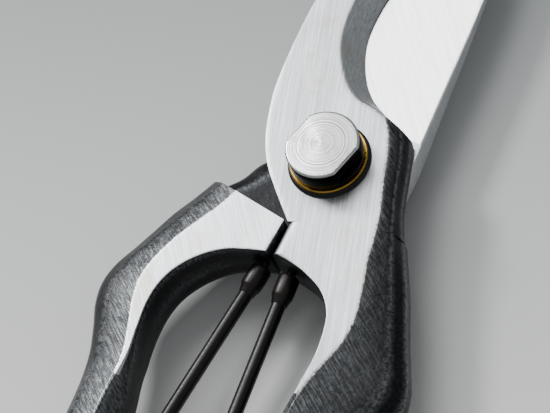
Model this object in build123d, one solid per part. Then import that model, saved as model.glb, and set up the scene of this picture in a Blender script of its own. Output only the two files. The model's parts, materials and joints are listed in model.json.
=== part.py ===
from build123d import *
from math import atan2, cos, degrees, hypot, radians, sin, tan
import os

os.makedirs("parts", exist_ok=True)

# Forged bypass snips lying flat. +Z is the bolt axis with the hook lever uppermost,
# +Y runs to the blade tips, and z = 0 is the rear face of the bolt and its nut.
# All sizes are in millimetres.

# ---- lever stock ----
PLATE_T = 5.0            # each lever is this thick where the two cross
RUN_GAP = 0.04           # running gap between the two lapped faces

# ---- pivot stack ----
SHANK_R = 4.0
BORE_CLEAR = 0.05        # radial clearance round the shank
THREAD_CLEAR = 0.02      # radial clearance drawn between nut and thread
NUT_T = 3.6
NUT_ACROSS = 13.0
REAR_WASHER_T = 0.9
REAR_WASHER_R = 7.5
DISH_R = 7.35
DISH_T = 0.8
DISH_RIM_T = 0.35
BRASS_R = 6.9
BRASS_T = 0.5
HEAD_R = 6.5
HEAD_H = 4.4
HEAD_FLATS = 11.4        # across the two wrench flats
COLLAR_H = 1.3           # round collar left under the flats
HEAD_CONE_H = 0.6
FLAT_TURN = 74.0         # degrees that the flats run round from the X axis

# ---- disc, stops and blade ----
DISC_R = 12.0            # rear disc of the blade lever, turned about the bolt
DISC_CLEAR = 0.4
STOP_X = -1.9            # the hook lever's stop face
CLOSE_ANGLE = 2.4        # degrees from this pose until the stops meet
STOP_TOP_Y = -12.9
STOP_LOW_Y = -19.3
STOP_CHAMFER = 1.0
BLADE_TIP_T = 1.1
BLADE_MID_T = 1.8
BLADE_MID_Y = 40.0
BLADE_ROOT_Y = 8.0
HOOK_TIP_T = 3.0
HOOK_THIN_Y = 34.0
TIP_Y = 66.0
EDGE_LAND = 0.5          # blunt land kept under each ground bevel
DRILL_MARK = (-8.1, -9.0)
DRILL_MARK_R = 0.9
DRILL_MARK_DEPTH = 1.5

# ---- hairpin spring ----
WIRE_R = 1.25
LEG_SPLAY = 5.5          # degrees that each leg leans out from the mid line
MID_X = -1.7
TIP_HALF = 2.5           # half the distance between the two tip pins
TIP_PIVOT_Y = -18.6
BEND_Y = -74.0           # centre of the closed bend
BEND_GAP = 0.2           # saw cut that parts the two halves at the bend
PIN_R = 0.8
PIN_REACH = 1.3          # tip pin beyond its swivel point
BARREL_R = 1.9
BARREL_TOP = 1.95        # swivel point to the barrel's shoulder
BARREL_L = 4.2
BARREL_TAPER_L = 1.3
SOCKET_CLEAR = 0.5
SOCKET_FLOOR = 0.4

# ---- catch at the handle ends ----
RIVET_X = 10.0
RIVET_Y = -121.5
STUD_X = -11.0
STUD_Y = -121.0
RIVET_R = 1.5
RIVET_HEAD_R = 2.8
RIVET_HEAD_H = 1.0
CATCH_T = 1.4
CATCH_GAP = 0.05
CATCH_WASHER_T = 0.4
CATCH_WASHER_R = 3.2
CATCH_EYE_R = 4.0
CATCH_BAR_W = 7.2
CATCH_LEAN = 13.0        # degrees the open catch leans from +Y along its handle
SLOT_CLEAR = 0.25

# ---- levels ----
Z_BACK = NUT_T + REAR_WASHER_T
Z_SHEAR = Z_BACK + PLATE_T
Z_FACE = Z_SHEAR + PLATE_T
Z_MID = Z_SHEAR
Z_DISH = Z_FACE + DISH_T
Z_BRASS = Z_DISH + BRASS_T
SLACK = 1.0              # cutters run this far past what they cut


def face_of(*edges):
    """One plane face bounded by the given edges."""
    return make_face(Wire(list(edges)))


def run(*points):
    """One smooth curve through the points."""
    return Spline(*[Vector(*p) for p in points])


def straight(a, b):
    return Line(Vector(*a), Vector(*b))


def prism(face, low, high):
    """The plan face carried from one level to another."""
    return extrude(Pos(0, 0, low) * face, amount=high - low)


def disc(radius, low, high, x=0.0, y=0.0):
    height = high - low
    return Pos(x, y, low) * Cylinder(radius, height, align=(Align.CENTER, Align.CENTER, Align.MIN))


def shaft(radius, start, direction, length):
    """A round bar from a point along a direction."""
    place = Plane(origin=start, z_dir=direction)
    return place * Cylinder(radius, length, align=(Align.CENTER, Align.CENTER, Align.MIN))


def bevel_cutter(low_points, high_points, far, z_low, z_high):
    """Waste beyond a ground bevel: ruled between an edge curve and an inner curve."""
    faces = []
    for points, z in ((low_points, z_low), (high_points, z_high)):
        first = points[0]
        last = points[-1]
        corner_a = (far, last[1])
        corner_b = (far, first[1])
        outline = face_of(run(*points), straight(last, corner_a),
                          straight(corner_a, corner_b), straight(corner_b, first))
        faces.append(Pos(0, 0, z) * outline)
    return loft(faces, ruled=True)


def profile_cutter(points):
    """Waste outside a side profile given in (y, z), as wide as both levers."""
    outline = Plane.YZ * make_face(Polyline(*points, close=True))
    return extrude(outline, amount=60, both=True)


# ---- outlines in plan ----
HOOK_TIP = (1.2, 61.5)
HOOK_BACK = [HOOK_TIP, (-7.2, 56.2), (-13.4, 47.0), (-16.5, 37.0), (-17.2, 26.0),
             (-16.4, 12.0), (-14.2, 3.4), (-9.9, -4.6), (-3.4, -11.4)]
HOOK_EDGE = [(3.0, 13.4), (-0.5, 15.7), (-3.8, 19.7), (-6.4, 25.6), (-7.0, 32.0),
             (-6.2, 39.0), (-3.9, 47.0), (-0.9, 54.6), HOOK_TIP]
HOOK_INNER = [(4.6, 11.4), (-0.6, 12.9), (-5.0, 16.6), (-8.4, 22.0), (-9.9, 30.0),
              (-9.0, 39.0), (-6.0, 47.5), (-2.6, 54.6), (0.4, 61.5)]
SHOULDER_IN = (5.4, 11.2)
SHOULDER_OUT = (10.8, 9.1)
RIGHT_OUT = [SHOULDER_OUT, (13.0, 3.0), (14.7, -2.5), (17.6, -8.8), (22.3, -17.3),
             (26.6, -26.6), (30.0, -33.2), (30.4, -37.6), (27.6, -44.4), (25.0, -53.0),
             (23.8, -66.0), (23.2, -82.0), (21.4, -99.0), (18.2, -114.0)]
RIGHT_END = [(18.2, -114.0), (14.4, -125.6), (7.0, -127.2)]
RIGHT_IN = [(7.0, -127.2), (6.4, -115.0), (9.8, -104.0), (11.9, -88.0), (12.3, -70.0),
            (12.2, -54.0), (13.0, -43.0), (13.7, -34.0), (12.9, -27.4), (9.9, -22.9),
            (5.4, -20.5), (STOP_X, STOP_LOW_Y)]
LEFT_OUT = [(-19.8, -8.9), (-23.9, -16.8), (-26.8, -24.2), (-29.6, -30.4),
            (-29.4, -36.6), (-26.3, -43.6), (-24.3, -52.0), (-23.3, -66.0), (-23.2, -82.0),
            (-22.2, -99.0), (-19.4, -114.0)]
LEFT_END = [(-19.4, -114.0), (-15.4, -125.4), (-8.2, -126.8)]
SPINE = [(12.4, 1.0), (11.2, 20.0), (10.0, 41.0), (7.6, 53.5), (2.6, TIP_Y)]
BLADE_EDGE = [(-9.4, 13.0), (-11.4, 21.0), (-11.9, 31.0), (-10.0, 43.0), (-5.4, 54.8),
              (2.6, TIP_Y)]
BLADE_INNER = [(-1.5, 9.0), (-4.2, 21.0), (-4.4, 31.0), (-3.0, 43.0), (-0.2, 54.8),
               (3.2, TIP_Y)]

close_lean = tan(radians(CLOSE_ANGLE))
STOP_LEFT_TOP = (STOP_X + STOP_TOP_Y * close_lean - RUN_GAP, STOP_TOP_Y)
STOP_LEFT_LOW = (STOP_X + STOP_LOW_Y * close_lean - RUN_GAP, STOP_LOW_Y)
LEFT_IN = [(-8.2, -126.8), (-7.4, -115.0), (-10.9, -102.0), (-12.7, -86.0), (-13.1, -69.0),
           (-13.8, -54.0), (-16.4, -43.6), (-18.2, -34.0), (-17.2, -27.8), (-13.6, -23.1),
           (-8.6, -20.7), STOP_LEFT_LOW]
NECK_TOP = [(-11.6, 2.2), (-14.4, -1.6), (-16.4, -5.2), (-19.8, -8.9)]


STEP_RIGHT = [(-40.0, STOP_TOP_Y), (STOP_X, STOP_TOP_Y), (17.6, -8.8), (60.0, 1.0)]
STEP_LEFT = [(60.0, -22.0), STOP_LEFT_TOP, (-14.0, -10.2), (-60.0, -1.0)]
FAR_Y = 90.0


def above_step(step, low, high):
    """Waste on the blades' side of a step line, from one level to another."""
    points = step + [(step[-1][0], FAR_Y), (step[0][0], FAR_Y)]
    return prism(make_face(Polyline(*points, close=True)), low, high)


def make_hook_lever():
    """Hook, disc and right handle, forged in one piece."""
    stop_top = (STOP_X, STOP_TOP_Y)
    stop_low = (STOP_X, STOP_LOW_Y)
    outline = face_of(run(*HOOK_BACK), straight(HOOK_BACK[-1], stop_top), straight(stop_top, stop_low),
                      run(*reversed(RIGHT_IN)), run(*reversed(RIGHT_END)), run(*reversed(RIGHT_OUT)),
                      straight(SHOULDER_OUT, SHOULDER_IN), straight(SHOULDER_IN, HOOK_EDGE[0]),
                      run(*HOOK_EDGE))
    lever = prism(outline, Z_BACK, Z_FACE)
    lapped = Z_SHEAR + RUN_GAP
    lever -= above_step(STEP_RIGHT, Z_BACK - SLACK, lapped)
    lever -= disc(DISC_R + DISC_CLEAR, Z_BACK - SLACK, lapped)
    lever -= disc(SHANK_R + BORE_CLEAR, Z_BACK - SLACK, Z_FACE + SLACK)
    lever -= bevel_cutter(HOOK_EDGE, HOOK_INNER, 14.0, lapped + EDGE_LAND, Z_FACE + SLACK)
    lever -= profile_cutter([(HOOK_THIN_Y, Z_FACE), (TIP_Y, Z_SHEAR + HOOK_TIP_T),
                             (TIP_Y, Z_FACE + SLACK), (HOOK_THIN_Y, Z_FACE + SLACK)])
    return lever


def make_blade_lever():
    """Blade, disc, neck and left handle, forged in one piece."""
    heel = (-10.0, 6.6)
    blade = face_of(run(*SPINE), run(*reversed(BLADE_EDGE)), straight(BLADE_EDGE[0], heel),
                    straight(heel, (0, -6.0)), straight((0, -6.0), SPINE[0]))
    handle = face_of(run(*NECK_TOP), run(*LEFT_OUT), run(*LEFT_END), run(*LEFT_IN),
                     straight(STOP_LEFT_LOW, STOP_LEFT_TOP), straight(STOP_LEFT_TOP, (-2.4, -11.0)),
                     straight((-2.4, -11.0), (0, 0)), straight((0, 0), NECK_TOP[0]))
    outline = blade + Circle(DISC_R) + handle
    lever = prism(outline, Z_BACK, Z_FACE)
    lever -= above_step(STEP_LEFT, Z_SHEAR, Z_FACE + SLACK)
    lever -= disc(SHANK_R + BORE_CLEAR, Z_BACK - SLACK, Z_FACE + SLACK)
    lever -= profile_cutter([(BLADE_ROOT_Y, Z_BACK), (BLADE_MID_Y, Z_SHEAR - BLADE_MID_T),
                             (TIP_Y + SLACK, Z_SHEAR - BLADE_TIP_T), (TIP_Y + SLACK, Z_BACK - SLACK),
                             (BLADE_ROOT_Y, Z_BACK - SLACK)])
    lever -= bevel_cutter(BLADE_EDGE, BLADE_INNER, -30.0, Z_SHEAR - EDGE_LAND, Z_BACK - SLACK)
    lever -= disc(DRILL_MARK_R, Z_SHEAR - DRILL_MARK_DEPTH, Z_SHEAR + SLACK, *DRILL_MARK)
    return lever


# ---- pivot hardware ----
def make_bolt():
    """Round head with a shallow cone and two flats over a round collar, plain shank."""
    z_top = Z_BRASS + HEAD_H
    outline = make_face(Polyline((0, 0), (SHANK_R, 0), (SHANK_R, Z_BRASS), (HEAD_R, Z_BRASS),
                                 (HEAD_R, z_top), (0, z_top + HEAD_CONE_H), close=True))
    bolt = revolve(Plane.XZ * outline, Axis.Z)
    waste_w = HEAD_R
    for side in (1, -1):
        middle = side * (HEAD_FLATS / 2 + waste_w / 2)
        block = Pos(0, middle, Z_BRASS + COLLAR_H) * Box(
            3 * HEAD_R, waste_w, 2 * HEAD_H, align=(Align.CENTER, Align.CENTER, Align.MIN))
        bolt -= Rot(0, 0, FLAT_TURN) * block
    return bolt


def make_dished_washer():
    """Blackened washer whose edge falls away to the lever's face."""
    bore = SHANK_R + BORE_CLEAR
    outline = make_face(Polyline((bore, Z_FACE), (DISH_R, Z_FACE), (DISH_R, Z_FACE + DISH_RIM_T),
                                 (BRASS_R, Z_DISH), (bore, Z_DISH), close=True))
    return revolve(Plane.XZ * outline, Axis.Z)


def make_ring(outer, low, high):
    return disc(outer, low, high) - disc(SHANK_R + BORE_CLEAR, low - SLACK, high + SLACK)


def make_nut():
    """Thin hexagon nut, flush with the bolt's rear end."""
    hexagon = prism(RegularPolygon(NUT_ACROSS / 2, 6, major_radius=False), 0, NUT_T)
    return hexagon - disc(SHANK_R + THREAD_CLEAR, -SLACK, NUT_T + SLACK)


# ---- spring ----
tip_y = TIP_PIVOT_Y
lean = radians(LEG_SPLAY)
BEND_R = (TIP_HALF + (tip_y - BEND_Y) * tan(lean)) * cos(lean)


def leg_frame(side):
    """Swivel point and downward direction of one leg; side is +1 right, -1 left."""
    start = Vector(MID_X + side * TIP_HALF, tip_y, Z_MID)
    down = Vector(side * sin(lean), -cos(lean), 0)
    return start, down


def make_ferrule(side):
    """Swaged end: tip pin, barrel and a taper onto the wire."""
    start, down = leg_frame(side)
    shoulder = BARREL_TOP
    low = shoulder + BARREL_L
    end = low + BARREL_TAPER_L
    nose = 0.3
    outline = make_face(Polyline((0, -PIN_REACH), (PIN_R, -PIN_REACH), (PIN_R, shoulder),
                                 (BARREL_R - nose, shoulder), (BARREL_R, shoulder + nose),
                                 (BARREL_R, low), (WIRE_R + 0.15, end), (WIRE_R, end),
                                 (WIRE_R, shoulder + 1.0), (0, shoulder + 1.0), close=True))
    body = revolve(Plane.XZ * outline, Axis.Z)
    return Plane(origin=start, x_dir=(0, 0, 1), z_dir=down) * body


def make_leg(side):
    """Half of the hairpin: one straight leg and its half of the closed bend."""
    start, down = leg_frame(side)
    top = start + down * (BARREL_TOP + 1.0)
    centre = Vector(MID_X, BEND_Y, Z_MID)
    outward = Vector(side * cos(lean), sin(lean), 0)
    tangent = centre + outward * BEND_R
    gap_turn = (BEND_GAP / 2) / BEND_R
    bottom = centre + Vector(side * sin(gap_turn), -cos(gap_turn), 0) * BEND_R
    turn = radians(45.0)
    middle = centre + Vector(side * cos(turn), -sin(turn), 0) * BEND_R
    path = Wire([Line(top, tangent), ThreePointArc(tangent, middle, bottom)])
    return sweep(Plane(origin=top, z_dir=down) * Circle(WIRE_R), path=path)


def socket(side):
    """Blind hole in the crotch wall for one tip pin."""
    x = MID_X + side * TIP_HALF
    start = Vector(x, STOP_LOW_Y - 4.0, Z_MID)
    reach = tip_y + PIN_REACH + SOCKET_FLOOR - start.Y
    return shaft(PIN_R + SOCKET_CLEAR, start, (0, 1, 0), reach)


# ---- catch ----
def make_pin(x, y, head_low):
    """Headed pin fixed in a handle's end."""
    body = disc(RIVET_R, Z_BACK, head_low, x, y)
    return body + disc(RIVET_HEAD_R, head_low, head_low + RIVET_HEAD_H, x, y)


CATCH_LOW = Z_FACE + CATCH_WASHER_T + CATCH_GAP
CATCH_HIGH = CATCH_LOW + CATCH_T


def make_catch():
    """Flat plate: an eye round its rivet, a bar, and a notch that opens towards the stud.

    The notch is long enough for the stud to run inwards when the handles close to their stops."""
    arm = hypot(STUD_X - RIVET_X, STUD_Y - RIVET_Y)
    room = RIVET_R + SLOT_CLEAR
    travel = radians(CLOSE_ANGLE) * hypot(STUD_X, STUD_Y)
    plate = disc(CATCH_EYE_R, CATCH_LOW, CATCH_HIGH)
    bar_l = arm + CATCH_EYE_R
    bar = Pos(CATCH_EYE_R, 0, CATCH_LOW) * Box(
        CATCH_BAR_W, bar_l, CATCH_T, align=(Align.MAX, Align.MIN, Align.MIN))
    notch = Pos(room, arm + room, CATCH_LOW - SLACK) * Box(
        2 * CATCH_BAR_W, travel + 2 * room, CATCH_T + 2 * SLACK, align=(Align.MAX, Align.MAX, Align.MIN))
    plate = plate + bar - notch
    plate -= disc(RIVET_R + BORE_CLEAR, CATCH_LOW - SLACK, CATCH_HIGH + SLACK)
    return Pos(RIVET_X, RIVET_Y, 0) * (Rot(0, 0, -CATCH_LEAN) * plate)


def make_catch_washer():
    ring = disc(CATCH_WASHER_R, Z_FACE, Z_FACE + CATCH_WASHER_T, RIVET_X, RIVET_Y)
    return ring - disc(RIVET_R + BORE_CLEAR, Z_FACE - SLACK, Z_FACE + SLACK, RIVET_X, RIVET_Y)


hook_lever = make_hook_lever() - socket(1)
hook_lever -= disc(RIVET_R, Z_BACK - SLACK, Z_FACE + SLACK, RIVET_X, RIVET_Y)
blade_lever = make_blade_lever() - socket(-1)
blade_lever -= disc(RIVET_R, Z_BACK - SLACK, Z_FACE + SLACK, STUD_X, STUD_Y)

pieces = {
    "hook_lever": hook_lever,
    "blade_lever": blade_lever,
    "pivot_bolt": make_bolt(),
    "dished_washer": make_dished_washer(),
    "brass_washer": make_ring(BRASS_R, Z_DISH, Z_BRASS),
    "rear_washer": make_ring(REAR_WASHER_R, NUT_T, Z_BACK - RUN_GAP / 2),
    "pivot_nut": make_nut(),
    "spring_leg_right": make_leg(1),
    "spring_leg_left": make_leg(-1),
    "spring_ferrule_right": make_ferrule(1),
    "spring_ferrule_left": make_ferrule(-1),
    "catch_hook": make_catch(),
    "catch_washer": make_catch_washer(),
    "catch_rivet": make_pin(RIVET_X, RIVET_Y, CATCH_HIGH + CATCH_GAP),
    "catch_stud": make_pin(STUD_X, STUD_Y, CATCH_HIGH + CATCH_GAP),
}

for name, solid in pieces.items():
    export_step(solid, f"parts/{name}.step")

print("closed bend radius", round(BEND_R, 2))
print("catch turn to the stud", round(CATCH_LEAN + degrees(atan2(RIVET_X - STUD_X, STUD_Y - RIVET_Y)), 2))
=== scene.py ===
import json
import math

import bpy
import numpy as np
from mathutils import Matrix, Vector


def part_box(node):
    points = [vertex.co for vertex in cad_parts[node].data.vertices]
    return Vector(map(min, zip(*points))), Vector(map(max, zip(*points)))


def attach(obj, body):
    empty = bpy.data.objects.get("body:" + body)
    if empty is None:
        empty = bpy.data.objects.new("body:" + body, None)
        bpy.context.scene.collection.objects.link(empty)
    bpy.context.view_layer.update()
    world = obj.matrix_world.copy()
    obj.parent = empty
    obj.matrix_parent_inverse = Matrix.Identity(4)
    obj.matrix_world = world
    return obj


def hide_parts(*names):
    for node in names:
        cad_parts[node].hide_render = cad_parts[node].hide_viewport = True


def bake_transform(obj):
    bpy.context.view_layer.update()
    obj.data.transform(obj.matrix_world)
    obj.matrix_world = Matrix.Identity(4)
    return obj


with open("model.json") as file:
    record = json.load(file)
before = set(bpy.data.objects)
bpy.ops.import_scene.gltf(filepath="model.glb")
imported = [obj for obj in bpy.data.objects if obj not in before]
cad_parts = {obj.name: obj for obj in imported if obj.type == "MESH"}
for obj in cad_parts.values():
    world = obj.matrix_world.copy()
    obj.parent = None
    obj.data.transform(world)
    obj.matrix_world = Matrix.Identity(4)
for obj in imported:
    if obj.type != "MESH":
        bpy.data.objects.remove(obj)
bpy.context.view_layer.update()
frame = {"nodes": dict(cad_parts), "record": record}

MM = 0.001
CLIP = 3.0               # the ground attribute's largest distance, in millimetres
POLISHED = 6.0           # its value on the blade

# Levels and driving sizes, all read from the frame, in millimetres.
lever_low, lever_high = (np.array(corner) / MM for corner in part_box("hook_lever"))
BACK = lever_low[2]
FACE = lever_high[2]
SHEAR = (BACK + FACE) / 2
dish_low, dish_high = (np.array(corner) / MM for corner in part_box("dished_washer"))
brass_low, brass_high = (np.array(corner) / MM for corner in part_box("brass_washer"))
bolt_low, bolt_high = (np.array(corner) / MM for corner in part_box("pivot_bolt"))
blade_low, blade_high = (np.array(corner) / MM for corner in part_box("blade_lever"))
joints = {joint["name"]: joint for joint in frame["record"]["behaviour"]["joints"]}
SWIVEL = np.array(joints["spring_swivel"]["pos_m"]) / MM
APEX = np.array(joints["spring_flex"]["pos_m"]) / MM


# ---------------------------------------------------------------- shaders

def srgb(code):
    """Hex sRGB colour to linear RGBA."""
    parts = [int(code[i:i + 2], 16) / 255 for i in (1, 3, 5)]
    linear = [c / 12.92 if c <= 0.04045 else ((c + 0.055) / 1.055) ** 2.4 for c in parts]
    return (*linear, 1.0)


def add(tree, kind, settings=None, **inputs):
    """Adds one node; inputs are values or (node, socket name) links."""
    item = tree.nodes.new(kind)
    for key, value in (settings or {}).items():
        setattr(item, key, value)
    for key, value in inputs.items():
        name = key.replace("_", " ")
        socket = item.inputs[int(name[1:])] if name[0] == "i" and name[1:].isdigit() else item.inputs[name]
        if isinstance(value, tuple) and len(value) == 2 and hasattr(value[0], "outputs"):
            tree.links.new(value[0].outputs[value[1]], socket)
        else:
            socket.default_value = value
    return item


def start_material(name):
    """A new node material, its tree and its surface shader."""
    material = bpy.data.materials.new(name)
    material.use_nodes = True
    tree = material.node_tree
    return material, tree, tree.nodes["Principled BSDF"]


def stretched(tree, scale, turn=(0.0, 0.0, 0.0)):
    """Object coordinates turned and then scaled: scale is features per millimetre along each turned axis."""
    place = add(tree, "ShaderNodeTexCoord")
    return add(tree, "ShaderNodeMapping", {"vector_type": "TEXTURE"}, Vector=(place, "Object"), Rotation=turn,
               Scale=tuple(MM / s for s in scale))


def noise(tree, mapping, scale=1.0, detail=4.0, rough=0.55):
    return add(tree, "ShaderNodeTexNoise", Vector=(mapping, "Vector"), Scale=scale,
               Detail=detail, Roughness=rough)


def ramp(tree, source, socket, stops):
    """A colour ramp over (position, hex colour) stops."""
    item = add(tree, "ShaderNodeValToRGB", Fac=(source, socket))
    ends = item.color_ramp.elements
    while len(ends) < len(stops):
        ends.new(0.5)
    for end, (position, code) in zip(ends, stops):
        end.position = position
        end.color = srgb(code)
    return item


def remap(tree, source, socket, low, high, to_low, to_high):
    """Linear change of range, clamped."""
    return add(tree, "ShaderNodeMapRange", Value=(source, socket), From_Min=low, From_Max=high,
               To_Min=to_low, To_Max=to_high)


def maths(tree, operation, a, b=0.0):
    return add(tree, "ShaderNodeMath", {"operation": operation}, i0=a, i1=b)


def lever_steel(name, bright_codes, bright_rough, turn_deg, filing_and_lit_facet):
    """Forged carbon steel: ground bright where the 'ground' attribute is positive, forge scale elsewhere.

    The ground part shows fine belt scratches at turn_deg from the tool's axis; the scale is blue black and
    glossy, lightened by file strokes near the ground edge as strongly as the filing argument says, where a
    larger value also paints in the light that a near facet facing the lamps catches (painted highlight), and
    lightened to bare steel on ridges marked by the convex-corner attribute, for rubbed edges together with a
    painted ridge highlight."""
    material, tree, shader = start_material(name)
    turn = (0.0, 0.0, math.radians(turn_deg))
    # Belt scratches: 0.12 mm wide and about 12 mm long.
    streaks = noise(tree, stretched(tree, (5.0, 0.08, 5.0), turn), detail=4.0, rough=0.7)
    clouds = noise(tree, stretched(tree, (0.12, 0.05, 0.12), turn), detail=3.0)
    stains = noise(tree, stretched(tree, (0.16, 0.16, 0.16)), detail=5.0, rough=0.62)
    tone = ramp(tree, streaks, "Fac", [(0.34, bright_codes[0]), (0.5, bright_codes[1]),
                                       (0.66, bright_codes[2])])
    stain_mask = remap(tree, stains, "Fac", 0.56, 0.72, 0.0, 0.5)
    stained = add(tree, "ShaderNodeMix", {"data_type": "RGBA"}, i0=(stain_mask, "Result"),
                  i6=(tone, "Color"), i7=srgb("#A9A289"))
    belt_gloss = remap(tree, clouds, "Fac", 0.35, 0.65, bright_rough - 0.05, bright_rough + 0.05)
    # The blade itself is polished: the attribute climbs past the ground faces' value there.
    ground = add(tree, "ShaderNodeAttribute", {"attribute_name": "ground"})
    polish = remap(tree, ground, "Fac", CLIP + 0.5, POLISHED - 0.5, 0.0, 1.0)
    polished_tone = ramp(tree, streaks, "Fac", [(0.36, "#DADCDD"), (0.5, "#ECEDEE"), (0.64, "#F7F7F7")])
    bright = add(tree, "ShaderNodeMix", {"data_type": "RGBA"}, i0=(polish, "Result"),
                 i6=(stained, "Result"), i7=(polished_tone, "Color"))
    bright_gloss = add(tree, "ShaderNodeMix", {"data_type": "FLOAT"}, i0=(polish, "Result"),
                       i2=(belt_gloss, "Result"), i3=0.24)
    # Forge scale: grains of 0.5 mm, hammer marks of 3 mm, file strokes 0.3 mm apart.
    grain = noise(tree, stretched(tree, (1.7, 1.7, 1.7)), detail=6.0, rough=0.65)
    hammer = noise(tree, stretched(tree, (0.33, 0.26, 0.33)), detail=3.0)
    strokes = noise(tree, stretched(tree, (0.35, 3.4, 1.2), (0.0, 0.0, math.radians(-37))), detail=3.0,
                    rough=0.6)
    rust = noise(tree, stretched(tree, (0.11, 0.07, 0.11)), detail=6.0, rough=0.7)
    scale_tone = ramp(tree, grain, "Fac", [(0.32, "#0B0C0E"), (0.52, "#15171A"), (0.74, "#24272A")])
    rust_mask = remap(tree, rust, "Fac", 0.60, 0.76, 0.0, 0.45)
    rusty = add(tree, "ShaderNodeMix", {"data_type": "RGBA"}, i0=(rust_mask, "Result"),
                i6=(scale_tone, "Color"), i7=srgb("#3A2A1C"))
    # Rubbed edges and painted highlight: ridges marked by this attribute turn bare steel colour, standing in
    # partly for light catching the ridges.
    wear = add(tree, "ShaderNodeAttribute", {"attribute_name": "wear"})
    # Filing reaches 3 mm out from the ground edge and fades; its lightening also stands in for light caught
    # by the near facet there, a painted highlight.
    reach = remap(tree, ground, "Fac", -3.0, -0.4, 0.0, filing_and_lit_facet)
    stroke_mark = remap(tree, strokes, "Fac", 0.44, 0.66, 0.15, 1.0)
    file_marks_and_painted_light = maths(tree, "MULTIPLY", (reach, "Result"), (stroke_mark, "Result"))
    patchy = remap(tree, grain, "Fac", 0.40, 0.62, 0.15, 0.75)
    rubbed_and_lit_ridges = maths(tree, "MULTIPLY", (wear, "Fac"), (patchy, "Result"))
    # Bare steel colour where file strokes or ridges lighten the scale: part real wear, part painted
    # highlight.
    bare = maths(tree, "MAXIMUM", (file_marks_and_painted_light, "Value"), (rubbed_and_lit_ridges, "Value"))
    dark = add(tree, "ShaderNodeMix", {"data_type": "RGBA"}, i0=(bare, "Value"),
               i6=(rusty, "Result"), i7=srgb("#84888A"))
    dark_gloss = remap(tree, grain, "Fac", 0.3, 0.7, 0.26, 0.44)
    # The ground edge wanders by a tenth of a millimetre.
    ragged = noise(tree, stretched(tree, (1.6, 1.6, 1.6)), detail=5.0, rough=0.7)
    wander = remap(tree, ragged, "Fac", 0.3, 0.7, -0.09, 0.09)
    edge = maths(tree, "ADD", (ground, "Fac"), (wander, "Result"))
    mask = remap(tree, edge, "Value", -0.07, 0.07, 0.0, 1.0)
    colour = add(tree, "ShaderNodeMix", {"data_type": "RGBA"}, i0=(mask, "Result"),
                 i6=(dark, "Result"), i7=(bright, "Result"))
    gloss = add(tree, "ShaderNodeMix", {"data_type": "FLOAT"}, i0=(mask, "Result"),
                i2=(dark_gloss, "Result"), i3=(bright_gloss, "Result"))
    shader.inputs["Specular IOR Level"].default_value = 0.35
    metal = remap(tree, mask, "Result", 0.0, 1.0, 0.65, 1.0)
    scratch_bump = add(tree, "ShaderNodeBump", Strength=0.25, Distance=0.00004, Height=(streaks, "Fac"))
    stroke_height = maths(tree, "MULTIPLY", (strokes, "Fac"), (reach, "Result"))
    rough_height = maths(tree, "MULTIPLY_ADD", (hammer, "Fac"), 1.6)
    tree.links.new(grain.outputs["Fac"], rough_height.inputs[2])
    all_height = maths(tree, "ADD", (rough_height, "Value"), (stroke_height, "Value"))
    scale_bump = add(tree, "ShaderNodeBump", Strength=0.38, Distance=0.0002, Height=(all_height, "Value"))
    normal = add(tree, "ShaderNodeMix", {"data_type": "VECTOR"}, i0=(mask, "Result"),
                 i4=(scale_bump, "Normal"), i5=(scratch_bump, "Normal"))
    tree.links.new(colour.outputs["Result"], shader.inputs["Base Color"])
    tree.links.new(gloss.outputs["Result"], shader.inputs["Roughness"])
    tree.links.new(metal.outputs["Result"], shader.inputs["Metallic"])
    tree.links.new(normal.outputs["Result"], shader.inputs["Normal"])
    return material


def turned_steel():
    """Bright mild steel turned on a lathe: rings 0.25 mm apart spread the light into a bow tie."""
    material, tree, shader = start_material("turned_bright_steel")
    shader.inputs["Metallic"].default_value = 1.0
    shader.inputs["Anisotropic"].default_value = 0.9
    place = stretched(tree, (1.0, 1.0, 0.0001))
    radius = add(tree, "ShaderNodeVectorMath", {"operation": "LENGTH"}, i0=(place, "Vector"))
    rings = add(tree, "ShaderNodeTexNoise", {"noise_dimensions": "1D"}, Scale=3.4, Detail=3.0,
                W=(radius, "Value"))
    # Painted shade: the head's sides and collar below the rim are coloured near black, standing in for the
    # shade and dark reflections on sides turned away from the light; only the end face takes the turned
    # tones.
    level = add(tree, "ShaderNodeSeparateXYZ", Vector=(add(tree, "ShaderNodeTexCoord"), "Object"))
    painted_side_shade_mask = remap(tree, level, "Z", (RIM - 0.35) * MM, (RIM - 0.22) * MM, 0.0, 1.0)
    tone = ramp(tree, rings, "Fac", [(0.35, "#9B9C9C"), (0.5, "#BEBFBF"), (0.65, "#D9D9D7")])
    colour = add(tree, "ShaderNodeMix", {"data_type": "RGBA"}, i0=(painted_side_shade_mask, "Result"),
                 i6=srgb("#0E0E0D"), i7=(tone, "Color"))
    tree.links.new(colour.outputs["Result"], shader.inputs["Base Color"])
    gloss = remap(tree, rings, "Fac", 0.3, 0.7, 0.18, 0.32)
    bump = add(tree, "ShaderNodeBump", Strength=0.5, Distance=0.00006, Height=(rings, "Fac"))
    tangent = add(tree, "ShaderNodeTangent", {"direction_type": "RADIAL", "axis": "Z"})
    tree.links.new(gloss.outputs["Result"], shader.inputs["Roughness"])
    tree.links.new(bump.outputs["Normal"], shader.inputs["Normal"])
    tree.links.new(tangent.outputs["Tangent"], shader.inputs["Tangent"])
    return material


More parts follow.
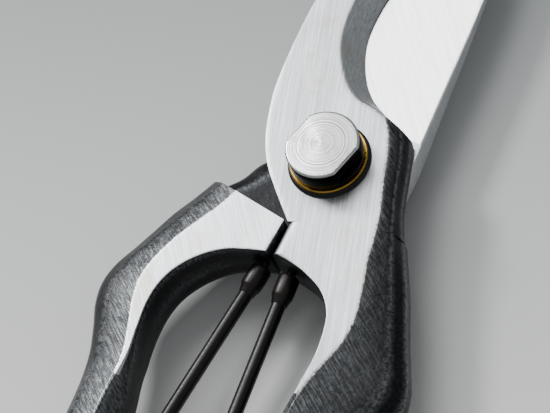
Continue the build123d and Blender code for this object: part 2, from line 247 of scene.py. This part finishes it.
def plain_metal(name, code, dark_code, rough, metallic, grain_mm=0.5, bump=0.2):
    """A worked metal surface: two close tones, uneven gloss and a fine grain."""
    material, tree, shader = start_material(name)
    shader.inputs["Metallic"].default_value = metallic
    size = 1.0 / grain_mm
    grain = noise(tree, stretched(tree, (size, size, size)), detail=5.0, rough=0.6)
    patches = noise(tree, stretched(tree, (0.2, 0.2, 0.2)), detail=3.0)
    colour = ramp(tree, patches, "Fac", [(0.35, dark_code), (0.65, code)])
    gloss = remap(tree, grain, "Fac", 0.3, 0.7, rough - 0.07, rough + 0.07)
    height = add(tree, "ShaderNodeBump", Strength=bump, Distance=0.00005, Height=(grain, "Fac"))
    tree.links.new(colour.outputs["Color"], shader.inputs["Base Color"])
    tree.links.new(gloss.outputs["Result"], shader.inputs["Roughness"])
    tree.links.new(height.outputs["Normal"], shader.inputs["Normal"])
    return material


# ---------------------------------------------------------------- surfaces

def through(points, per_span):
    """A smooth curve through the points: each span is a cubic whose end slopes are half the
    difference of the neighbouring points."""
    p = np.asarray(points, float)
    if len(p) == 2:
        slopes = np.array([p[1] - p[0], p[1] - p[0]])
    else:
        slopes = np.empty_like(p)
        slopes[1:-1] = (p[2:] - p[:-2]) / 2
        slopes[0] = p[1] - p[0]
        slopes[-1] = p[-1] - p[-2]
    t = (np.arange(per_span) / per_span)[None, :, None]
    a, b = p[:-1, None], p[1:, None]
    sa, sb = slopes[:-1, None], slopes[1:, None]
    curve = ((2 * t**3 - 3 * t**2 + 1) * a + (t**3 - 2 * t**2 + t) * sa
             + (-2 * t**3 + 3 * t**2) * b + (t**3 - t**2) * sb)
    return np.vstack([curve.reshape(-1, p.shape[1]), p[-1:]])


def grid_object(name, grid, attributes=None, flip=False, sharp_deg=28.0):
    """A mesh from a grid of points (rows along the piece, columns round its section), its ends
    closed by a fan round each end ring's middle."""
    rows, cols, _ = grid.shape
    points = grid.reshape(-1, 3)
    index = np.arange(rows * cols).reshape(rows, cols)
    right = np.roll(index, -1, axis=1)
    quads = np.stack([index[:-1], right[:-1], right[1:], index[1:]], axis=-1).reshape(-1, 4)
    faces = quads.tolist()
    ends = np.stack([grid[0].mean(axis=0), grid[-1].mean(axis=0)])
    first, last = len(points), len(points) + 1
    points = np.vstack([points, ends])
    ring = index[0]
    faces += np.stack([np.full(cols, first), np.roll(ring, -1), ring], axis=-1).tolist()
    ring = index[-1]
    faces += np.stack([np.full(cols, last), ring, np.roll(ring, -1)], axis=-1).tolist()
    if flip:
        faces = [face[::-1] for face in faces]
    mesh = bpy.data.meshes.new(name)
    mesh.from_pydata((points * MM).tolist(), [], faces)
    for key, field in (attributes or {}).items():
        values = np.append(field.reshape(-1), [field[0].mean(), field[-1].mean()])
        mesh.attributes.new(key, "FLOAT", "POINT").data.foreach_set("value", values.astype(np.float32))
    mesh.shade_smooth()
    mesh.set_sharp_from_angle(angle=math.radians(sharp_deg))
    mesh.validate()
    item = bpy.data.objects.new(name, mesh)
    bpy.context.scene.collection.objects.link(item)
    return item


def turned(name, profile, steps=192):
    """A profile of (radius, level) points carried round the bolt axis."""
    p = np.asarray(profile, float)
    angle = np.linspace(0, 2 * math.pi, steps, endpoint=False)
    grid = np.stack([p[:, :1] * np.cos(angle), p[:, :1] * np.sin(angle),
                     np.repeat(p[:, 1:2], steps, axis=1)], axis=-1)
    return grid_object(name, grid, flip=True)


def ripple(points, size, seed):
    """Smooth unevenness: a sum of waves running in fixed random directions."""
    rng = np.random.default_rng(seed)
    total = np.zeros(points.shape[:-1])
    for octave in range(14):
        direction = rng.normal(size=3)
        direction /= np.linalg.norm(direction)
        wave = size * rng.uniform(0.6, 1.8)
        total += np.sin(points @ direction * (2 * math.pi / wave) + rng.uniform(0, 6.28))
    return total / 14


def lerp(a, b, w):
    return a + (b - a) * w


def at_level(plan, level):
    """Plan points lifted to a level (one number or one for each point)."""
    return np.column_stack([plan, np.broadcast_to(level, len(plan))])


SPAN = 10                # rows between two stations of a lever
SPLITS = (24, 12, 6, 6, 4, 4, 8, 8, 6, 4, 3)    # columns between neighbouring rails


def skin(rails, ground):
    """Straight lines across between neighbouring rails, round and back to the first one."""
    strips, values = [], []
    for k, splits in enumerate(SPLITS):
        a, b = rails[k], rails[(k + 1) % len(rails)]
        w = (np.arange(splits) / splits)[None, :, None]
        strips.append(a[:, None] + (b - a)[:, None] * w)
        values.append(lerp(ground[k][0][:, None], ground[k][1][:, None], w[..., 0]))
    return np.concatenate(strips, axis=1), np.concatenate(values, axis=1)


def spread(values):
    """A list of numbers, one for each station, smoothed onto the rows."""
    return through(np.asarray(values, float)[:, None], SPAN)[:, 0]


def handle_rails(outer, bright, inner, ridge, inset, draft, chamfer, drop, low):
    """Eleven rails round a handle: bright face, two forged facets, side, rear facets, inner wall.

    outer, bright and inner are plan points at each station; ridge is the share of the way from the
    bright edge to the outside where the two facets meet; inset pulls the near face's inner edge back;
    draft moves the inner wall out below the face; chamfer is the height of the inner edge's bevel."""
    o, b, i = (through(points, SPAN) for points in (outer, bright, inner))
    ridge, inset, draft, chamfer, drop = (spread(v) for v in (ridge, inset, draft, chamfer, drop))
    across = o - i
    across /= np.linalg.norm(across, axis=1)[:, None]
    near = i + across * inset[:, None]
    wall = i - across * draft[:, None]
    c = lerp(b, o, ridge[:, None])
    rails = [at_level(near, FACE), at_level(b, FACE), at_level(c, FACE - drop),
             at_level(o, SHEAR + 1.6), at_level(o, SHEAR - 1.6), at_level(lerp(b, o, 0.75), BACK + drop),
             at_level(lerp(near, b, 0.9), BACK), at_level(lerp(near, b, 0.2), BACK),
             at_level(wall + across * 0.6, low), at_level(wall, SHEAR - 0.5), at_level(i, FACE - chamfer)]
    return rails, np.linalg.norm(b - near, axis=1)


def handle_ground(rails, width, strip):
    """Signed distance in millimetres from the edge of the ground face, at each rail pair's ends."""
    zero = np.zeros(len(width))
    far = np.full(len(width), -CLIP)
    inside = np.minimum(width, CLIP)
    values = []
    for k in range(len(rails)):
        if k == 0:
            values.append((np.where(width > 0.4, inside, -0.6), np.where(width > 0.4, zero, -0.8)))
        elif k == 1:
            values.append((zero, far))
        elif k == 10:
            values.append((strip, np.where(strip > 0, strip, -0.8)))
        else:
            values.append((far, far))
    return values


# Plan points down the hook lever, in millimetres: far side, edge of the bright face, near side.
HOOK_BACK = [(1.0, 61.2), (-7.2, 56.2), (-13.4, 47.0), (-16.5, 37.0), (-17.2, 29.0), (-17.1, 20.5),
             (-16.3, 11.5), (-15.3, 7.0), (-14.2, 3.4)]
HOOK_BEVEL = [(1.1, 61.3), (-2.6, 54.6), (-6.0, 47.5), (-9.0, 39.0), (-9.9, 30.6), (-8.7, 22.8),
              (-5.2, 16.8), (-1.2, 13.2), (4.4, 11.5)]
HOOK_EDGE = [(1.2, 61.4), (-0.9, 54.6), (-3.9, 47.0), (-6.2, 39.0), (-7.0, 32.0), (-6.4, 25.6),
             (-3.8, 19.7), (-0.5, 15.7), (3.0, 13.4)]
DISC_IN = [(-14.2, 3.4), (-13.4, 1.3), (-11.9, -1.7), (-9.9, -4.6), (-7.0, -7.8), (-3.4, -11.4),
           (-1.9, -12.9)]
DISC_BRIGHT = [(5.6, 10.9), (7.6, 8.3), (9.3, 4.3), (10.7, 0.0), (12.0, -3.6), (13.2, -7.2), (13.7, -9.5)]
DISC_OUT = [(10.8, 9.1), (12.0, 6.0), (13.0, 3.0), (14.0, -0.4), (15.2, -4.0), (16.6, -7.0), (17.6, -8.8)]
STOP_IN = [(-1.9, -12.9), (-1.9, -16.0), (-1.9, -19.3)]
STOP_BRIGHT = [(13.7, -9.5), (14.2, -12.2), (14.6, -14.6)]
STOP_OUT = [(17.6, -8.8), (19.1, -11.5), (20.6, -14.2)]
RIGHT_IN = [(-1.9, -19.3), (1.8, -19.8), (5.4, -20.8), (9.4, -22.9), (12.0, -26.0), (13.2, -29.8),
            (13.7, -34.2), (13.3, -39.4), (12.7, -44.8), (12.2, -54.0), (12.3, -69.0), (11.9, -86.0),
            (9.9, -103.0), (6.6, -114.4), (5.9, -122.0), (8.4, -126.4)]
RIGHT_BRIGHT = [(14.6, -14.6), (15.4, -17.6), (16.2, -20.6), (17.0, -24.3), (17.2, -27.6), (16.7, -30.8),
                (15.5, -34.6), (14.2, -39.4), (13.8, -45.0), (15.4, -54.0), (15.6, -68.0), (15.0, -84.6),
                (13.2, -101.6), (9.9, -114.3), (8.7, -122.1), (9.4, -126.6)]
RIGHT_OUT = [(20.6, -14.2), (22.5, -17.7), (24.2, -21.4), (26.1, -25.5), (28.2, -29.6), (29.9, -33.2),
             (30.5, -37.2), (28.8, -41.6), (26.8, -46.4), (24.9, -53.4), (23.8, -66.0), (23.2, -82.0),
             (21.4, -99.0), (18.2, -114.0), (16.2, -121.6), (12.0, -126.6)]

# The same down the blade lever, on its side of the tool.
SPINE = [(2.6, 65.6), (7.6, 53.5), (9.3, 45.6), (10.1, 38.0), (10.7, 29.0), (11.2, 20.0), (11.8, 10.0)]
CUT_EDGE = [(2.4, 65.7), (-5.4, 54.8), (-10.0, 43.0), (-11.7, 34.0), (-11.9, 28.0), (-11.2, 20.0),
            (-9.4, 13.0)]
EYE_IN = [(11.8, 10.0), (12.2, 4.0), (11.9, -1.4), (10.3, -6.2), (6.7, -10.0), (1.4, -11.9), (-2.5, -12.9)]
EYE_OUT = [(-9.4, 13.0), (-10.4, 7.4), (-11.6, 2.2), (-13.4, -0.4), (-15.0, -2.4), (-16.6, -5.6),
           (-19.8, -8.9)]
LSTOP_IN = [(-2.5, -12.9), (-2.63, -16.0), (-2.77, -19.3)]
LSTOP_BRIGHT = [(-13.4, -10.5), (-14.0, -12.0), (-14.8, -13.8)]
LSTOP_OUT = [(-19.8, -8.9), (-20.7, -10.8), (-21.7, -12.8)]
LEFT_IN = [(-2.77, -19.3), (-6.0, -20.0), (-9.6, -21.1), (-13.1, -23.3), (-16.1, -26.6), (-17.8, -30.2),
           (-18.3, -34.4), (-17.5, -39.6), (-16.2, -44.6), (-13.9, -54.0), (-13.1, -68.0), (-12.7, -85.0),
           (-11.0, -101.6), (-7.8, -114.2), (-7.2, -121.6), (-9.6, -126.0)]
LEFT_BRIGHT = [(-14.8, -13.8), (-16.4, -16.6), (-18.2, -19.8), (-19.9, -23.3), (-21.2, -27.2), (-21.7, -31.0),
               (-20.9, -35.2), (-19.2, -39.9), (-17.6, -45.4), (-17.3, -54.0), (-16.2, -67.4), (-15.8, -84.0),
               (-14.3, -101.0), (-11.2, -114.1), (-10.0, -121.8), (-10.6, -126.1)]
LEFT_OUT = [(-21.7, -12.8), (-23.9, -16.8), (-25.6, -20.9), (-27.3, -24.9), (-29.1, -28.8), (-29.9, -32.8),
            (-29.1, -37.0), (-27.0, -41.6), (-25.2, -46.6), (-24.1, -53.0), (-23.3, -66.0), (-23.2, -82.0),
            (-22.2, -99.0), (-19.4, -114.0), (-17.2, -121.8), (-13.2, -126.2)]

FORGED = 0.07            # depth of the hammered unevenness


def finish_lever(name, parts, flip, seed, box_low, box_high):
    """Joins a lever's stretches, rounds its corners, hammers the black skin and closes the ends."""
    grid = np.concatenate([part[0] for part in parts])
    ground = np.concatenate([part[1] for part in parts])
    before, after = grid - np.roll(grid, 1, axis=1), np.roll(grid, -1, axis=1) - grid
    dots = (before * after).sum(axis=-1)
    bend = np.degrees(np.arctan2(np.linalg.norm(np.cross(before, after), axis=-1), dots))
    # Convex corners get a value that the shader turns into bare steel colour: rubbed ridges, and a painted
    # highlight where light would catch them.
    wear = np.clip((bend - 8.0) / 25.0, 0.0, 1.0)
    wear = np.maximum(wear, 0.4 * np.maximum(np.roll(wear, 1, axis=1), np.roll(wear, -1, axis=1)))
    for _ in range(2):
        near = (np.roll(grid, 1, axis=1) + np.roll(grid, -1, axis=1)) / 2
        grid = lerp(grid, near, 0.5)
    side = np.roll(grid, -1, axis=1) - np.roll(grid, 1, axis=1)
    along = np.gradient(grid, axis=0)
    normal = np.cross(along, side)
    normal /= np.maximum(np.linalg.norm(normal, axis=-1), 1e-6)[..., None]
    skin_depth = FORGED * np.clip(-ground, 0.0, 1.0)
    uneven = ripple(grid, 6.0, seed) + 0.5 * ripple(grid, 2.4, seed + 1)
    grid = grid + normal * (skin_depth * uneven)[..., None]
    grid = np.clip(grid, box_low, box_high)
    return grid_object(name, grid, {"ground": ground, "wear": wear}, flip=flip, sharp_deg=24.0)


def plate_values(count, pattern):
    """The same signed ground value at every row, for each strip's two ends."""
    return [(np.full(count, a), np.full(count, b)) for a, b in pattern]


def build_hook_lever():
    """Hook with its wide bevel, disc, stop and right handle."""
    back, bevel, edge = (through(p, SPAN) for p in (HOOK_BACK, HOOK_BEVEL, HOOK_EDGE))
    top = FACE - 2.0 * np.clip((back[:, 1] - 34.0) / 32.0, 0, 1)
    rows = len(back)
    mid = (top + SHEAR) / 2
    rails = [at_level(back, top), at_level(bevel, top), at_level(lerp(bevel, edge, 0.6),
                                                                 lerp(top, SHEAR + 0.5, 0.6)),
             at_level(edge, SHEAR + 0.5), at_level(edge, SHEAR + 0.05),
             at_level(lerp(edge, back, 0.2), SHEAR + 0.05),
             at_level(lerp(edge, back, 0.5), SHEAR + 0.05), at_level(lerp(edge, back, 0.9), SHEAR + 0.05),
             at_level(back, SHEAR + 0.3), at_level(back, mid), at_level(back, top - 0.3)]
    bright = [(CLIP, CLIP)] * len(rails)
    hook = skin(rails, plate_values(rows, bright))

    d_in, d_bright, d_out = (through(p, SPAN) for p in (DISC_IN, DISC_BRIGHT, DISC_OUT))
    rows = len(d_in)
    rails = [at_level(d_in, FACE), at_level(d_bright, FACE), at_level(lerp(d_bright, d_out, 0.6), FACE - 0.5),
             at_level(d_out, SHEAR + 2.2), at_level(d_out, SHEAR + 0.05),
             at_level(lerp(d_out, d_in, 0.1), SHEAR + 0.05),
             at_level(lerp(d_out, d_in, 0.5), SHEAR + 0.05), at_level(lerp(d_out, d_in, 0.9), SHEAR + 0.05),
             at_level(d_in, SHEAR + 0.3), at_level(d_in, (FACE + SHEAR) / 2), at_level(d_in, FACE - 0.3)]
    values = plate_values(rows, [(CLIP, 0.0), (0.0, -CLIP)] + [(-CLIP, -CLIP)] * 3 + [(CLIP, CLIP)] * 6)
    disc = skin(rails, values)

    rails, width = handle_rails(STOP_OUT, STOP_BRIGHT, STOP_IN, [0.62] * 3, [1.0] * 3, [0.0] * 3,
                                   [1.0] * 3, [0.6, 0.7, 0.8], BACK)
    stop = skin(rails, handle_ground(rails, width, np.full(len(width), 0.9)))

    grip = 7
    ridge = [0.62, 0.64, 0.66, 0.68, 0.70, 0.74, 0.76, 0.78, 0.80] + [0.78] * grip
    inset = [1.0, 0.5, 0.15, 0.1, 0.1, 0.1, 0.1, 0.3, 0.8] + [2.2, 2.4, 2.4, 2.4, 2.2, 2.0, 0.6]
    draft = [0.0, 0.2, 0.5, 0.9, 1.1, 1.0, 0.8, 0.3, 0.0] + [0.0] * grip
    chamfer = [1.0, 0.5, 0.3, 0.3, 0.3, 0.3, 0.3, 0.6, 1.0] + [1.6] * 5 + [1.4, 0.6]
    drop = [0.8, 0.9, 1.0, 1.1, 1.2, 1.2, 1.2, 1.2, 1.2] + [1.2] * grip
    rails, width = handle_rails(RIGHT_OUT, RIGHT_BRIGHT, RIGHT_IN, ridge, inset, draft, chamfer, drop,
                                BACK + 0.6)
    fade = through(np.array([[1.0]] * 8 + [[0.0]] * 8), SPAN)[:, 0]
    face_width = width * (fade > 0.5)
    handle = skin(rails, handle_ground(rails, face_width, np.full(len(width), -0.8)))
    return finish_lever("forged_hook_lever", [hook, disc, stop, handle], False, 11, lever_low, lever_high)


def build_blade_lever():
    """Flat blade ground from behind, eye, sunk neck, stop and left handle."""
    spine, edge = through(SPINE, SPAN), through(CUT_EDGE, SPAN)
    y = spine[:, 1]
    thick = np.interp(y, [8.0, 40.0, 66.0], [FACE - SHEAR, 1.8, 1.1])
    low = SHEAR - thick
    rows = len(spine)
    rails = [at_level(spine, SHEAR), at_level(lerp(spine, edge, 0.5), SHEAR),
             at_level(lerp(spine, edge, 0.8), SHEAR),
             at_level(edge, SHEAR), at_level(edge, SHEAR - 0.15),
             at_level(lerp(edge, spine, 0.12), lerp(SHEAR, low, 0.35)),
             at_level(lerp(edge, spine, 0.34), low), at_level(lerp(edge, spine, 0.8), low),
             at_level(spine, low), at_level(spine, lerp(low, SHEAR, 0.5)),
             at_level(spine, lerp(low, SHEAR, 0.93))]
    blade = skin(rails, plate_values(rows, [(POLISHED, POLISHED)] * 4 + [(CLIP, CLIP)] * 7))

    inner, outer = through(EYE_IN, SPAN), through(EYE_OUT, SPAN)
    rows = len(inner)
    rails = [at_level(inner, SHEAR), at_level(lerp(inner, outer, 0.4), SHEAR),
             at_level(lerp(inner, outer, 0.85), SHEAR),
             at_level(outer, SHEAR - 1.0), at_level(outer, BACK + 1.0),
             at_level(lerp(outer, inner, 0.1), BACK + 0.2),
             at_level(lerp(outer, inner, 0.4), BACK), at_level(lerp(outer, inner, 0.9), BACK),
             at_level(inner, BACK + 0.3), at_level(inner, (SHEAR + BACK) / 2), at_level(inner, SHEAR - 0.3)]
    bare = np.clip((inner[:, 1] + 2.0) * 1.5, -CLIP, CLIP)
    black = np.full(rows, -CLIP)
    values = [(bare, black)] + [(black, black)] * 7 + [(bare, bare)] * 3
    eye = skin(rails, values)

    rails, width = handle_rails(LSTOP_OUT, LSTOP_BRIGHT, LSTOP_IN, [0.55] * 3, [0.1] * 3, [0.0] * 3,
                                   [0.1] * 3, [0.6, 0.7, 0.8], BACK)
    stop = skin(rails, handle_ground(rails, width, np.full(len(width), -0.8)))

    grip = 7
    ridge = [0.55, 0.56, 0.58, 0.60, 0.62, 0.64, 0.66, 0.68, 0.70] + [0.74] * grip
    inset = [0.1, 0.1, 0.1, 0.1, 0.1, 0.1, 0.1, 0.3, 0.9] + [3.2, 3.0, 3.0, 3.0, 3.0, 2.4, 0.8]
    draft = [0.0, 0.2, 0.5, 0.9, 1.1, 1.0, 0.8, 0.3, 0.0] + [0.0] * grip
    chamfer = [0.1, 0.2, 0.3, 0.3, 0.3, 0.3, 0.3, 0.8, 1.4] + [2.0] * 5 + [1.6, 0.6]
    drop = [0.8, 0.9, 1.0, 1.1, 1.2, 1.2, 1.2, 1.2, 1.2] + [1.2] * grip
    rails, width = handle_rails(LEFT_OUT, LEFT_BRIGHT, LEFT_IN, ridge, inset, draft, chamfer, drop,
                                BACK + 0.6)
    fade = through(np.array([[1.0]] * 9 + [[0.0]] * 7), SPAN)[:, 0]
    face_width = width * (fade > 0.5)
    handle = skin(rails, handle_ground(rails, face_width, np.full(len(width), -0.8)))
    return finish_lever("forged_blade_lever", [blade, eye, stop, handle], True, 23, blade_low, blade_high)


# ---------------------------------------------------------------- pivot

HEAD_R = bolt_high[0]
BRASS_TOP = brass_high[2]
HEAD_CONE = 0.6
RIM = bolt_high[2] - HEAD_CONE
COLLAR = 1.3
FLAT_HALF = 5.7
FLAT_TURN = math.radians(74.0)


def build_bolt():
    """Turned bolt: rings round the axis; above the collar each ring is cut off at the two flats."""
    angle = np.linspace(0, 2 * math.pi, 360, endpoint=False)
    reach = np.minimum(HEAD_R, FLAT_HALF / np.maximum(np.abs(np.sin(angle - FLAT_TURN)), 1e-6))
    rings = []
    soft = 0.3
    for share in np.linspace(0.02, 1.0, 40):
        rings.append((share * (reach - soft), RIM + HEAD_CONE * (1 - share)))
    rings.append((reach - 0.12, RIM - 0.1))
    rings.append((reach, RIM - soft))
    rings.append((reach, BRASS_TOP + COLLAR + 0.15))
    rings.append((reach + 0.02, BRASS_TOP + COLLAR))
    full = np.full_like(angle, HEAD_R)
    rings.append((np.maximum(reach + 0.05, full - 0.15), BRASS_TOP + COLLAR - 0.01))
    rings.append((full, BRASS_TOP + COLLAR - 0.2))
    rings.append((full, BRASS_TOP + 0.2))
    rings.append((full - 0.2, BRASS_TOP))
    rings.append((full * 0.615, BRASS_TOP))
    rings.append((full * 0.615, 0.4))
    rings.append((full * 0.555, 0.0))
    rings.append((full * 0.05, 0.0))
    grid = np.stack([np.stack([r * np.cos(angle), r * np.sin(angle), np.full_like(angle, z)], axis=-1)
                     for r, z in rings])
    return grid_object("turned_pivot_bolt", grid, flip=True, sharp_deg=35.0)


def build_washers():
    """Blackened washer with a falling rim, and the thin brass ring on it."""
    bore, rim = 4.05, dish_high[0]
    low, high = dish_low[2], dish_high[2]
    black = turned("blackened_dished_washer", [(bore, low), (rim - 0.05, low), (rim, low + 0.08),
                                               (rim, low + 0.3),
                                                (rim - 0.1, low + 0.42), (6.95, high - 0.03), (6.8, high),
                                               (bore, high)])
    brass = turned("brass_ring", [(bore, brass_low[2]), (6.85, brass_low[2]), (6.9, brass_low[2] + 0.08),
                                  (6.9, BRASS_TOP - 0.16), (6.84, BRASS_TOP - 0.06), (6.74, BRASS_TOP),
                                  (bore, BRASS_TOP)])
    return black, brass


# ---------------------------------------------------------------- spring

LEG_LEAN = math.radians(5.5)
WIRE_R = 1.25
BEND_R = 7.798
MID_X = APEX[0]
BEND_Y = APEX[1] + BEND_R
TIP_Y = SWIVEL[1]
TIP_HALF = SWIVEL[0] - MID_X


def spring_frame(side):
    start = np.array([MID_X + side * TIP_HALF, TIP_Y, SHEAR])
    down = np.array([side * math.sin(LEG_LEAN), -math.cos(LEG_LEAN), 0.0])
    return start, down


def tube(name, path, radii, steps=28):
    """A round section carried along a flat path that lies at one level."""
    along = np.gradient(path, axis=0)
    along /= np.linalg.norm(along, axis=1)[:, None]
    up = np.array([0.0, 0.0, 1.0])
    side = np.cross(along, up)
    angle = np.linspace(0, 2 * math.pi, steps, endpoint=False)
    ring = side[:, None] * np.cos(angle)[None, :, None] + up * np.sin(angle)[None, :, None]
    grid = path[:, None] + ring * np.asarray(radii)[:, None, None]
    return grid_object(name, grid, flip=False, sharp_deg=30.0)


def build_wire():
    """Two straight legs joined by a bend of a little over half a circle."""
    first, down = spring_frame(1)
    top = first + down * 3.2
    turn = np.linspace(LEG_LEAN, -math.pi - LEG_LEAN, 90)
    centre = np.array([MID_X, BEND_Y, SHEAR])
    arc = centre + BEND_R * np.stack([np.cos(turn), np.sin(turn), np.zeros_like(turn)], axis=-1)
    second, down = spring_frame(-1)
    end = second + down * 3.2
    legs = 60
    right = top + (arc[0] - top) * np.linspace(0, 1, legs, endpoint=False)[:, None]
    left = arc[-1] + (end - arc[-1]) * np.linspace(0, 1, legs + 1)[1:, None]
    path = np.vstack([right, arc, left])
    return tube("blackened_spring_wire", path, np.full(len(path), WIRE_R))


FERRULE = [(-1.3, 0.55), (-1.1, 0.8), (1.9, 0.8), (1.95, 1.5), (2.15, 1.78), (2.5, 1.88), (4.4, 1.9),
           (5.7, 1.86),
           (6.1, 1.76), (6.35, 1.6), (7.2, 1.44), (7.4, 1.34), (7.45, 1.26)]


def build_ferrule(side, name):
    """Swaged barrel: radius against distance down the leg, with a shoulder and a short taper."""
    start, down = spring_frame(side)
    reach = np.array([p[0] for p in FERRULE])
    radii = np.array([p[1] for p in FERRULE])
    return tube(name, start + down * reach[:, None], radii, steps=40)


# ---------------------------------------------------------------- assembly

# The last argument sets how strongly file strokes lighten the scale; the blade lever's larger value also
# paints in the light that its left handle's near facet catches from the lamps (painted highlight).
steel_hook = lever_steel("ground_and_scaled_hook_steel", ("#9A9EA2", "#B4B8BB", "#CBCED0"), 0.42, 18, 0.3)
steel_blade = lever_steel("ground_and_scaled_blade_steel", ("#AEB2B5", "#C6C9CC", "#DCDEE0"), 0.38, 39, 0.75)
bolt_steel = turned_steel()
brass = plain_metal("aged_brass", "#C9A24A", "#8F6E2C", 0.27, 1.0)
blackened = plain_metal("blackened_washer_steel", "#121212", "#070707", 0.34, 0.3)
wire_black = plain_metal("oil_blackened_wire", "#1A1918", "#0E0E0E", 0.36, 0.4, grain_mm=0.35)
ferrule_black = plain_metal("oil_blackened_ferrule", "#221D1B", "#141110", 0.36, 0.4, grain_mm=0.4)
zinc = plain_metal("plain_nut_steel", "#A4A4A2", "#8C8C8A", 0.38, 1.0)
plate_steel = plain_metal("stamped_catch_steel", "#B4B4B1", "#9C9C99", 0.36, 1.0)


def place(piece, body, material, slot, *nodes):
    """Gives a piece its finish and its body, and hides the frame nodes that it stands for."""
    piece.data.materials.clear()
    piece.data.materials.append(material)
    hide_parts(*nodes)
    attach(piece, body)


place(build_hook_lever(), "hook_side", steel_hook, "ground_steel", "hook_lever")
place(build_blade_lever(), "blade_side", steel_blade, "blade_steel", "blade_lever")
place(build_bolt(), "hook_side", bolt_steel, "turned_steel", "pivot_bolt")
black_ring, brass_ring = build_washers()
place(black_ring, "hook_side", blackened, "blackened_washer", "dished_washer")
place(brass_ring, "hook_side", brass, "brass", "brass_washer")
place(build_ferrule(1, "swaged_ferrule_right"), "spring_right", ferrule_black, "ferrule_steel",
      "spring_ferrule_right")
place(build_ferrule(-1, "swaged_ferrule_left"), "spring_left", ferrule_black, "ferrule_steel",
      "spring_ferrule_left")

wire = build_wire()
wire.data.materials.append(wire_black)
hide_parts("spring_leg_right", "spring_leg_left")
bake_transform(wire)

for node, material in (("rear_washer", zinc), ("pivot_nut", zinc), ("catch_hook", plate_steel),
                       ("catch_washer", brass), ("catch_rivet", zinc), ("catch_stud", zinc)):
    piece = frame["nodes"][node]
    piece.data.materials.clear()
    piece.data.materials.append(material)


# ---------------------------------------------------------------- studio

VIEW_TILT = math.radians(33.0)
VIEW_HEADING = math.radians(-38.6)
VIEW_ROLL = math.radians(-28.56)
VIEW_DISTANCE = 400.0
AIM = np.array([-5.7, -10.7, SHEAR + 4.0])
FOCAL_PX = 2352.0
VIEW_UP_TURN = math.radians(18.4)    # the view's upright, turned from the Y axis towards -X
SENSOR_MM = 36.0


def build_camera():
    """Camera tilted off the bolt axis, headed from the lower right and rolled."""
    back = np.array([math.sin(VIEW_TILT) * math.cos(VIEW_HEADING),
                     math.sin(VIEW_TILT) * math.sin(VIEW_HEADING),
                     math.cos(VIEW_TILT)])
    level = np.cross([0.0, 0.0, 1.0], back)
    level /= np.linalg.norm(level)
    upright = np.cross(back, level)
    right = level * math.cos(VIEW_ROLL) + upright * math.sin(VIEW_ROLL)
    up = np.cross(back, right)
    data = bpy.data.cameras.new("camera")
    data.sensor_width = SENSOR_MM
    data.lens = SENSOR_MM * FOCAL_PX / 550
    data.clip_start = 0.01
    camera = bpy.data.objects.new("camera", data)
    rotation = Matrix(np.column_stack([right, up, back]).tolist()).to_4x4()
    camera.matrix_world = Matrix.Translation(Vector((AIM + back * VIEW_DISTANCE) * MM)) @ rotation
    bpy.context.scene.collection.objects.link(camera)
    bpy.context.scene.camera = camera


def softbox(name, direction, distance, size, power, aim=(0.0, 0.0, 0.012)):
    """A square area light facing the tool from a direction."""
    toward = Vector(direction).normalized()
    data = bpy.data.lights.new(name, "AREA")
    data.shape = "RECTANGLE"
    data.size, data.size_y = size
    data.energy = power
    light = bpy.data.objects.new(name, data)
    light.location = Vector(aim) + toward * distance
    light.rotation_euler = toward.to_track_quat("Z", "Y").to_euler()
    bpy.context.scene.collection.objects.link(light)


def build_studio():
    """Pale table, soft sky, a small key light and a wide window that the flat faces mirror."""
    mesh = bpy.data.meshes.new("table")
    half = 3.0
    mesh.from_pydata([(-half, -half, 0), (half, -half, 0), (half, half, 0), (-half, half, 0)], [],
                     [(0, 1, 2, 3)])
    table = bpy.data.objects.new("table", mesh)
    bpy.context.scene.collection.objects.link(table)
    material, tree, shader = start_material("matt_paper")
    # Painted light falloff: the table's colour goes from near white below the tool to mid grey beyond it,
    # standing in for light that fades across the backdrop.
    place = stretched(tree, (0.007, 0.007, 0.007), (0.0, 0.0, VIEW_UP_TURN))
    along = add(tree, "ShaderNodeSeparateXYZ", Vector=(place, "Vector"))
    tone = ramp(tree, maths(tree, "ADD", (along, "Y"), 0.5), "Value",
                [(0.02, "#F4F4F2"), (0.5, "#D2D4D4"), (1.0, "#9BA0A1")])
    tree.links.new(tone.outputs["Color"], shader.inputs["Base Color"])
    shader.inputs["Roughness"].default_value = 0.9
    mesh.materials.append(material)
    world = bpy.data.worlds.new("studio")
    bpy.context.scene.world = world
    world.use_nodes = True
    world.node_tree.nodes["Background"].inputs["Color"].default_value = srgb("#E8EAEC")
    world.node_tree.nodes["Background"].inputs["Strength"].default_value = 0.45
    softbox("key", (-0.752, 0.218, 0.621), 0.9, (0.16, 0.16), 5.5)
    softbox("window", (-0.426, 0.340, 0.839), 1.2, (0.7, 0.7), 7.0)


build_camera()
build_studio()
